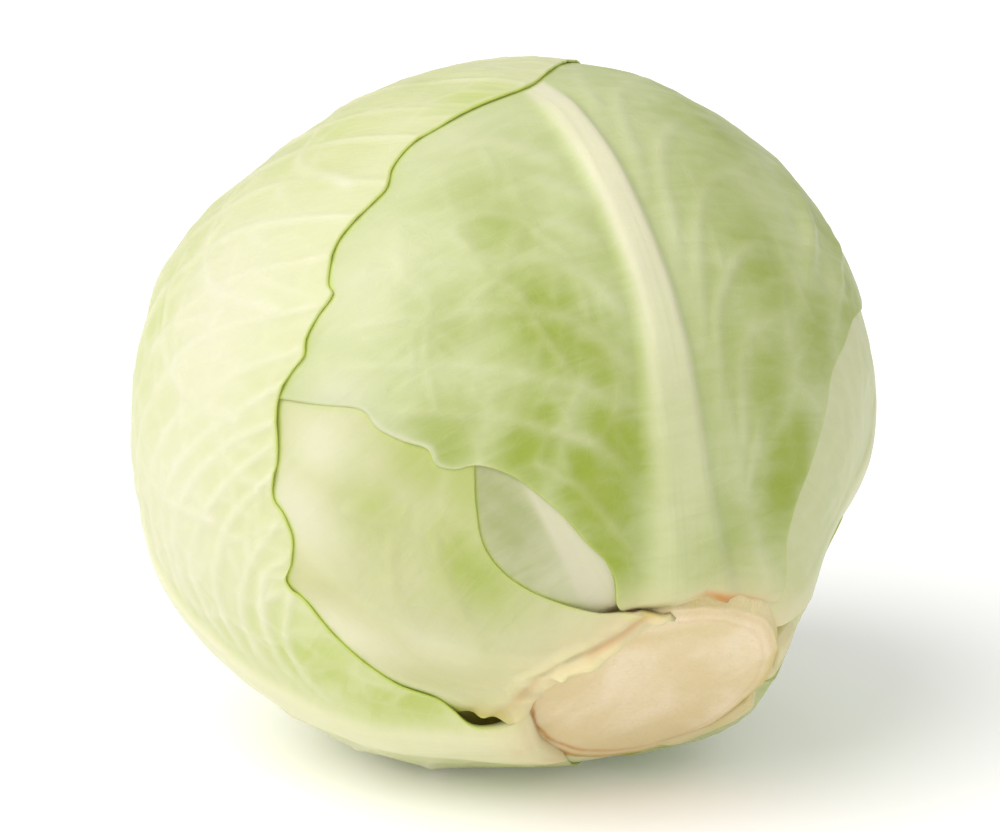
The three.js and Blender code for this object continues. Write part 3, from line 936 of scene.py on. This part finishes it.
def leaf_material(leaf, palette):
    """Mottled green skin with pale veins and midrib, a tan base, tinted edges, painted shade along
    the edges of leaves lying over it and in the hollow by the stump, and paler patches that are
    partly painted highlight.
    """
    pale, green, deep, rib_white = [srgb(*colour) for colour in palette]
    n = Nodes(leaf["name"] + "_skin")
    place = n.new("ShaderNodeTexCoord").outputs["Object"]
    sheet = n.vector("sheet")
    cloudy = n.noise(28.0, 4.0, place)
    mottled = n.noise(95.0, 5.0, place, 0.4)
    streaks = n.noise(0.55, 4.0, n.scaled(sheet, (0.10, 0.45, 1.0)), 0.8)
    warp = n.new("ShaderNodeTexNoise", {"Vector": sheet, "Scale": 0.12, "Detail": 2.0})
    shift = n.vector_math("MULTIPLY", warp.outputs["Color"], (7.0, 7.0, 0.0))
    bent = n.vector_math("ADD", sheet, shift)
    net_line = n.ramp(n.wall_distance(0.22, bent), 0.0, 0.09, 1.0, 0.0)
    fine_line = n.ramp(n.wall_distance(0.5, bent), 0.0, 0.12, 1.0, 0.0)

    green_share = n.plus(n.field("green"), n.ramp(cloudy, 0.35, 0.70, -0.12, 0.16))
    green_share = n.plus(green_share, n.ramp(streaks, 0.3, 0.7, -0.11, 0.14))
    colour = n.blend(n.times(green_share, 1.0, clamp=True), pale, green)
    deep_share = n.times(n.ramp(green_share, 0.8, 1.4), n.ramp(mottled, 0.3, 0.7, 0.75, 1.0))
    colour = n.blend(deep_share, colour, deep)
    lines = n.times(net_line, 0.025)
    lines = n.plus(lines, n.times(n.field("net"), leaf["net_tone"]))
    lines = n.plus(lines, n.times(n.field("vein"), leaf["vein_tone"]), clamp=True)
    colour = n.blend(lines, colour, rib_white)
    rib = n.ramp(n.field("rib"), 0.05, 0.75)
    colour = n.blend(n.times(rib, n.field("rib_pale")), colour, rib_white)
    fibres = n.noise(0.6, 3.0, n.scaled(sheet, (0.8, 0.035, 1.0)), 0.6)
    colour = n.blend(n.times(rib, n.ramp(fibres, 0.4, 0.8, 0.0, 0.16)), colour, green)
    # Paler patches, partly painted highlight, and the painted highlight along the torn edge.
    colour = n.blend(n.times(n.field("pale_and_highlight"), 0.7, clamp=True), colour, CREAM_AND_HIGHLIGHT)
    stem_share = n.times(n.field("near_stem"), n.ramp(mottled, 0.3, 0.7, 0.45, 0.95))
    colour = n.blend(stem_share, colour, STEM_TAN)
    for field, strength, tint in TINTS:
        colour = n.blend(n.times(n.field(field), strength), colour, tint)

    height = n.plus(n.times(net_line, 0.08), n.times(fine_line, 0.05))
    height = n.plus(height, n.times(mottled, 0.9))
    height = n.plus(height, n.times(streaks, 0.7))
    return n.finish(colour, height, 0.16, n.ramp(mottled, 0.3, 0.7, 0.40, 0.52), 0.25)


STUMP_BEIGE = srgb(235, 218, 187)
STUMP_TAN = srgb(221, 202, 158)
STUMP_GRAIN = srgb(216, 196, 142)
STUMP_SKIN = srgb(205, 192, 110)
STUMP_BROWN = srgb(188, 126, 52)


def stump_material():
    """Dull beige flesh with faint grain and rings, a green skin and a brown outline."""
    n = Nodes("stump_look")
    place = n.new("ShaderNodeTexCoord").outputs["Object"]
    cloudy = n.noise(40.0, 5.0, place, 0.5)
    fine = n.noise(260.0, 5.0, place)
    grain = n.noise(1.1, 5.0, n.vector("disc"), 1.0)
    colour = n.blend(n.ramp(cloudy, 0.38, 0.62), STUMP_BEIGE, STUMP_TAN)
    colour = n.blend(n.ramp(grain, 0.45, 0.75, 0.0, 0.35), colour, STUMP_GRAIN)
    colour = n.blend(n.times(n.field("ring"), 0.12), colour, STUMP_GRAIN)
    colour = n.blend(n.times(n.field("skin"), 0.8), colour, STUMP_SKIN)
    brown = n.times(n.field("brown"), n.ramp(fine, 0.25, 0.65, 0.55, 0.9))
    colour = n.blend(brown, colour, STUMP_BROWN)
    height = n.plus(n.times(fine, 0.6), n.times(grain, 0.8))
    return n.finish(colour, height, 0.35, n.ramp(fine, 0.3, 0.7, 0.55, 0.75), 0.2)


# Pale, green, deep green and rib colours of each leaf's skin.
PALETTES = {
    "left_leaf": ((210, 212, 160), (186, 199, 112), (172, 188, 76), (228, 225, 196)),
    "front_leaf": ((191, 199, 143), (156, 170, 80), (147, 163, 48), (225, 220, 192)),
    "back_leaf": ((186, 198, 134), (162, 180, 100), (148, 168, 80), (218, 218, 184)),
    "lower_leaf": ((199, 200, 150), (172, 184, 98), (162, 176, 76), (190, 188, 136)),
    "right_leaf": ((206, 208, 160), (186, 194, 134), (172, 184, 110), (222, 220, 186)),
    "under_leaf": ((200, 206, 154), (176, 190, 116), (158, 176, 90), (220, 220, 188)),
    "inner_leaf": ((202, 202, 164), (164, 170, 116), (154, 162, 100), (205, 201, 173)),
    "stub_right": ((208, 206, 160), (190, 196, 130), (178, 186, 104), (218, 212, 178)),
    "stub_lower": ((214, 202, 148), (202, 196, 126), (186, 180, 96), (222, 210, 168)),
}

for leaf in LEAVES:
    prepare(leaf)
for number, leaf in enumerate(LEAVES):
    build_leaf(number, leaf_material(leaf, PALETTES[leaf["name"]]))


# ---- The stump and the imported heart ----


def around_face(values, bearing):
    """Smooth values around the cut face, given every 30 degrees from its top."""
    fine = np.interp(np.arange(0, 360, 2), np.arange(0, 361, 30), [*values, values[0]])
    weights = np.hanning(17) / np.hanning(17).sum()
    smooth = np.convolve(np.tile(fine, 3), weights, "same")[180:361]
    return np.interp(bearing % 360, np.arange(0, 361, 2), smooth)


def facing(phi, bearing):
    """From 0 to 1, how nearly each angle phi, in radians, points to a bearing in degrees."""
    return np.clip(np.cos(phi - math.radians(bearing)), 0, 1)


def build_stump():
    """A short neck whose cut face is almost flat, with a worn rim and lumpy sides."""
    around = 240
    shares = np.concatenate([np.linspace(0.02, 0.84, 40), np.linspace(0.86, 1.0, 14)])
    neck = np.array([0.5, 1.2, 2.1, 3.2, 4.5, 6.0, 8.0, 10.0])
    phi = np.linspace(0, 2 * np.pi, around, endpoint=False)
    toward = direction(CUT_TOWARD, CUT_TILT)
    east = np.cross([0, 0, 1], toward)
    east /= np.linalg.norm(east)
    north = np.cross(toward, east)
    spoke = np.stack([np.cos(phi), np.sin(phi), 0 * phi], -1)
    outline = around_face(FACE_RADII, np.degrees(phi))
    outline = outline + 0.5 * smooth_noise(spoke * FACE_RADIUS, 12)
    outline = outline + 0.3 * smooth_noise(spoke * FACE_RADIUS, 4.5)

    flat = spoke[None] * (outline * shares[:, None])[..., None]
    middle = 1 - smoothstep(shares, 0, 0.15)[:, None]
    lumps = 0.30 * smooth_noise(flat, 8) + 0.12 * smooth_noise(flat, 2.5)
    rolled = 1.9 * smoothstep(shares, 0.86, 1.12)[:, None] ** 1.5
    height = lumps * (1 - middle) - 0.5 * (1 - shares[:, None] ** 2) * (1 - middle) - 0.5 * middle
    height = height - rolled
    flare = 0.15 * facing(phi, -10) + 0.16 * facing(phi, 125) ** 2 - 0.02
    grown = 1 + flare * smoothstep(neck, 0, 4.0)[:, None] - 0.3 * smoothstep(neck, 5, 12)[:, None]
    sides = spoke[None] * (outline * grown)[..., None]
    side_height = height[-1] - neck[:, None] + 0.25 * smooth_noise(sides, 4)
    flat = np.concatenate([flat, sides])
    height = np.concatenate([height, side_height])
    ends = np.array([[0, 0, -0.5], [0, 0, -13.0]])
    grid = flat + np.array([0, 0, 1.0]) * height[..., None]
    local = np.vstack([grid.reshape(-1, 3), ends])
    points = local @ np.array([east, north, toward]) + np.array([0, 0, -STUMP_FACE_DEPTH])

    count = len(flat)
    reach = np.linalg.norm(flat, axis=-1) / outline
    wobble = reach + 0.02 * smooth_noise(flat, 9)
    on_side = np.arange(count)[:, None] >= len(shares)
    outer_ring, inner_ring = bell(wobble, 0.97, 0.032), 0.8 * bell(wobble, 0.88, 0.018)
    outlined = (outer_ring + inner_ring) * (0.15 + 0.85 * facing(phi, 100))
    crease = bell(height, -6.2, 1.3) * facing(phi, -20) ** 2 * on_side
    skin = (smoothstep(reach, 0.90, 1.0) + on_side) * (0.25 + 0.75 * facing(phi, 215))
    fields = {
        "ring": bell(wobble, 0.76, 0.05),
        "brown": np.clip(1.3 * outlined * np.where(on_side, 0.6, 1.0) + 0.9 * crease, 0, 1),
        "skin": np.clip(skin, 0, 1),
    }
    fields = {name: np.append(field.ravel(), [0, 0]) for name, field in fields.items()}
    fields["disc"] = np.vstack([flat.reshape(-1, 3), np.zeros((2, 3))])
    faces = ring_faces(count, around, count * around, count * around + 1)
    make_piece("stump", points, faces, fields, stump_material())


def ring_faces(rings, around, first_end, last_end):
    """Triangles of a closed body made of rings of points, with one point at each end."""
    i, j = np.meshgrid(np.arange(rings - 1), np.arange(around), indexing="ij")
    k = (j + 1) % around
    a, b = i * around + j, i * around + k
    c, d = a + around, b + around
    walls = np.concatenate([
        np.stack([a, c, d], -1).reshape(-1, 3), np.stack([a, d, b], -1).reshape(-1, 3)
    ])
    j = np.arange(around)
    k = (j + 1) % around
    last = (rings - 1) * around
    start = np.stack([0 * j + first_end, j, k], -1)
    end = np.stack([last + k, last + j, 0 * j + last_end], -1)
    return np.concatenate([walls, start, end])


def build_heart():
    """The young leaves inside, as one puckered ball just under the modelled leaves."""
    around, rows = 180, 90
    angles = np.linspace(24, 176, rows)
    lon, away = np.meshgrid(np.linspace(0, 360, around, endpoint=False), angles)
    w = direction(lon, away)
    depth, _ = depth_above(len(LEAVES), w)
    depth = depth + 0.6 + HEART_HOLLOW_DEPTH * blob(w, *HOLLOW)
    skin = w * EQUATOR_RADIUS
    rise = 0.3 * smooth_noise(skin, 12) * smoothstep(np.abs(depth), 0, 1)
    ball = (w * layer_radius(w, depth, rise - 0.3)[..., None]).reshape(-1, 3)
    crown = direction(0, 180) * HEART_CROWN_REACH
    base = direction(0, 0) * HEART_BASE_REACH
    points = np.vstack([ball, crown[None], base[None]])
    faces = ring_faces(rows, around, len(ball) + 1, len(ball))[:, ::-1]
    # Painted shade in the hollow beside the stump.
    shade = np.append(blob(w, -76, 27, 9).ravel(), [0, 0])
    fields = {"green": np.full(len(points), 0.4), "painted_hollow_shade": shade, "sheet": points}
    material = leaf_material(LEAF_DEFAULTS | {"name": "heart"}, PALETTES["under_leaf"])
    make_piece("heart", points, faces, fields, material)


build_stump()
build_heart()

# ---- Floor, light and camera ----

FLOOR_REACH = 3.0
FLOOR_GLOW = 0.09
FILL_PLACE = Vector((0.1, -1.5, 0.9))
FILL_TARGET = Vector((0, 0, 0.06))
FILL_POWER = 2.0
SUN_SIDE = Vector((-0.56, -0.43, 0.77))
SUN_STRENGTH = 2.0
SUN_WIDTH = math.radians(50)
SKY_STRENGTH = 0.64
CAMERA_ELEVATION = math.radians(15)
CAMERA_DISTANCE = 0.738
CAMERA_LENS = 121.4
AIM_SHIFT = Vector((-0.0007, 0, -0.0011))

floor_mesh = bpy.data.meshes.new("floor")
corners = [(x * FLOOR_REACH, y * FLOOR_REACH, 0) for x, y in ((-1, -1), (1, -1), (1, 1), (-1, 1))]
floor_mesh.from_pydata(corners, [], [(0, 1, 2, 3)])
paper = Nodes("pale_floor")
paper.fill(paper.surface, {
    "Base Color": (0.97, 0.97, 0.97, 1), "Roughness": 0.9, "Specular IOR Level": 0.1,
    "Emission Color": (1, 1, 1, 1), "Emission Strength": FLOOR_GLOW,
})
floor_mesh.materials.append(paper.material)
floor = add_object("floor", floor_mesh)

lamp = bpy.data.lights.new("fill", "AREA")
lamp.shape = "DISK"
lamp.size = 1.0
lamp.energy = FILL_POWER
fill = add_object("fill", lamp)
fill.location = FILL_PLACE
fill.rotation_euler = (FILL_TARGET - FILL_PLACE).to_track_quat("-Z", "Y").to_euler()

sun = bpy.data.lights.new("key", "SUN")
sun.energy = SUN_STRENGTH
sun.angle = SUN_WIDTH
sun.color = (1.0, 0.99, 0.96)
add_object("key", sun).rotation_euler = SUN_SIDE.to_track_quat("Z", "Y").to_euler()

world = bpy.data.worlds.new("studio")
world.use_nodes = True
sky = world.node_tree.nodes["Background"]
sky.inputs["Color"].default_value = (1, 1, 1, 1)
sky.inputs["Strength"].default_value = SKY_STRENGTH
bpy.context.scene.world = world

camera_data = bpy.data.cameras.new("camera")
camera_data.lens = CAMERA_LENS
camera_data.clip_end = 20
camera = add_object("camera", camera_data)
back = Vector((0, -math.cos(CAMERA_ELEVATION), math.sin(CAMERA_ELEVATION)))
camera.location = HEAD_CENTRE + AIM_SHIFT + back * CAMERA_DISTANCE
camera.rotation_euler = (-back).to_track_quat("-Z", "Y").to_euler()
bpy.context.scene.camera = camera
bpy.context.scene.view_settings.view_transform = "Standard"
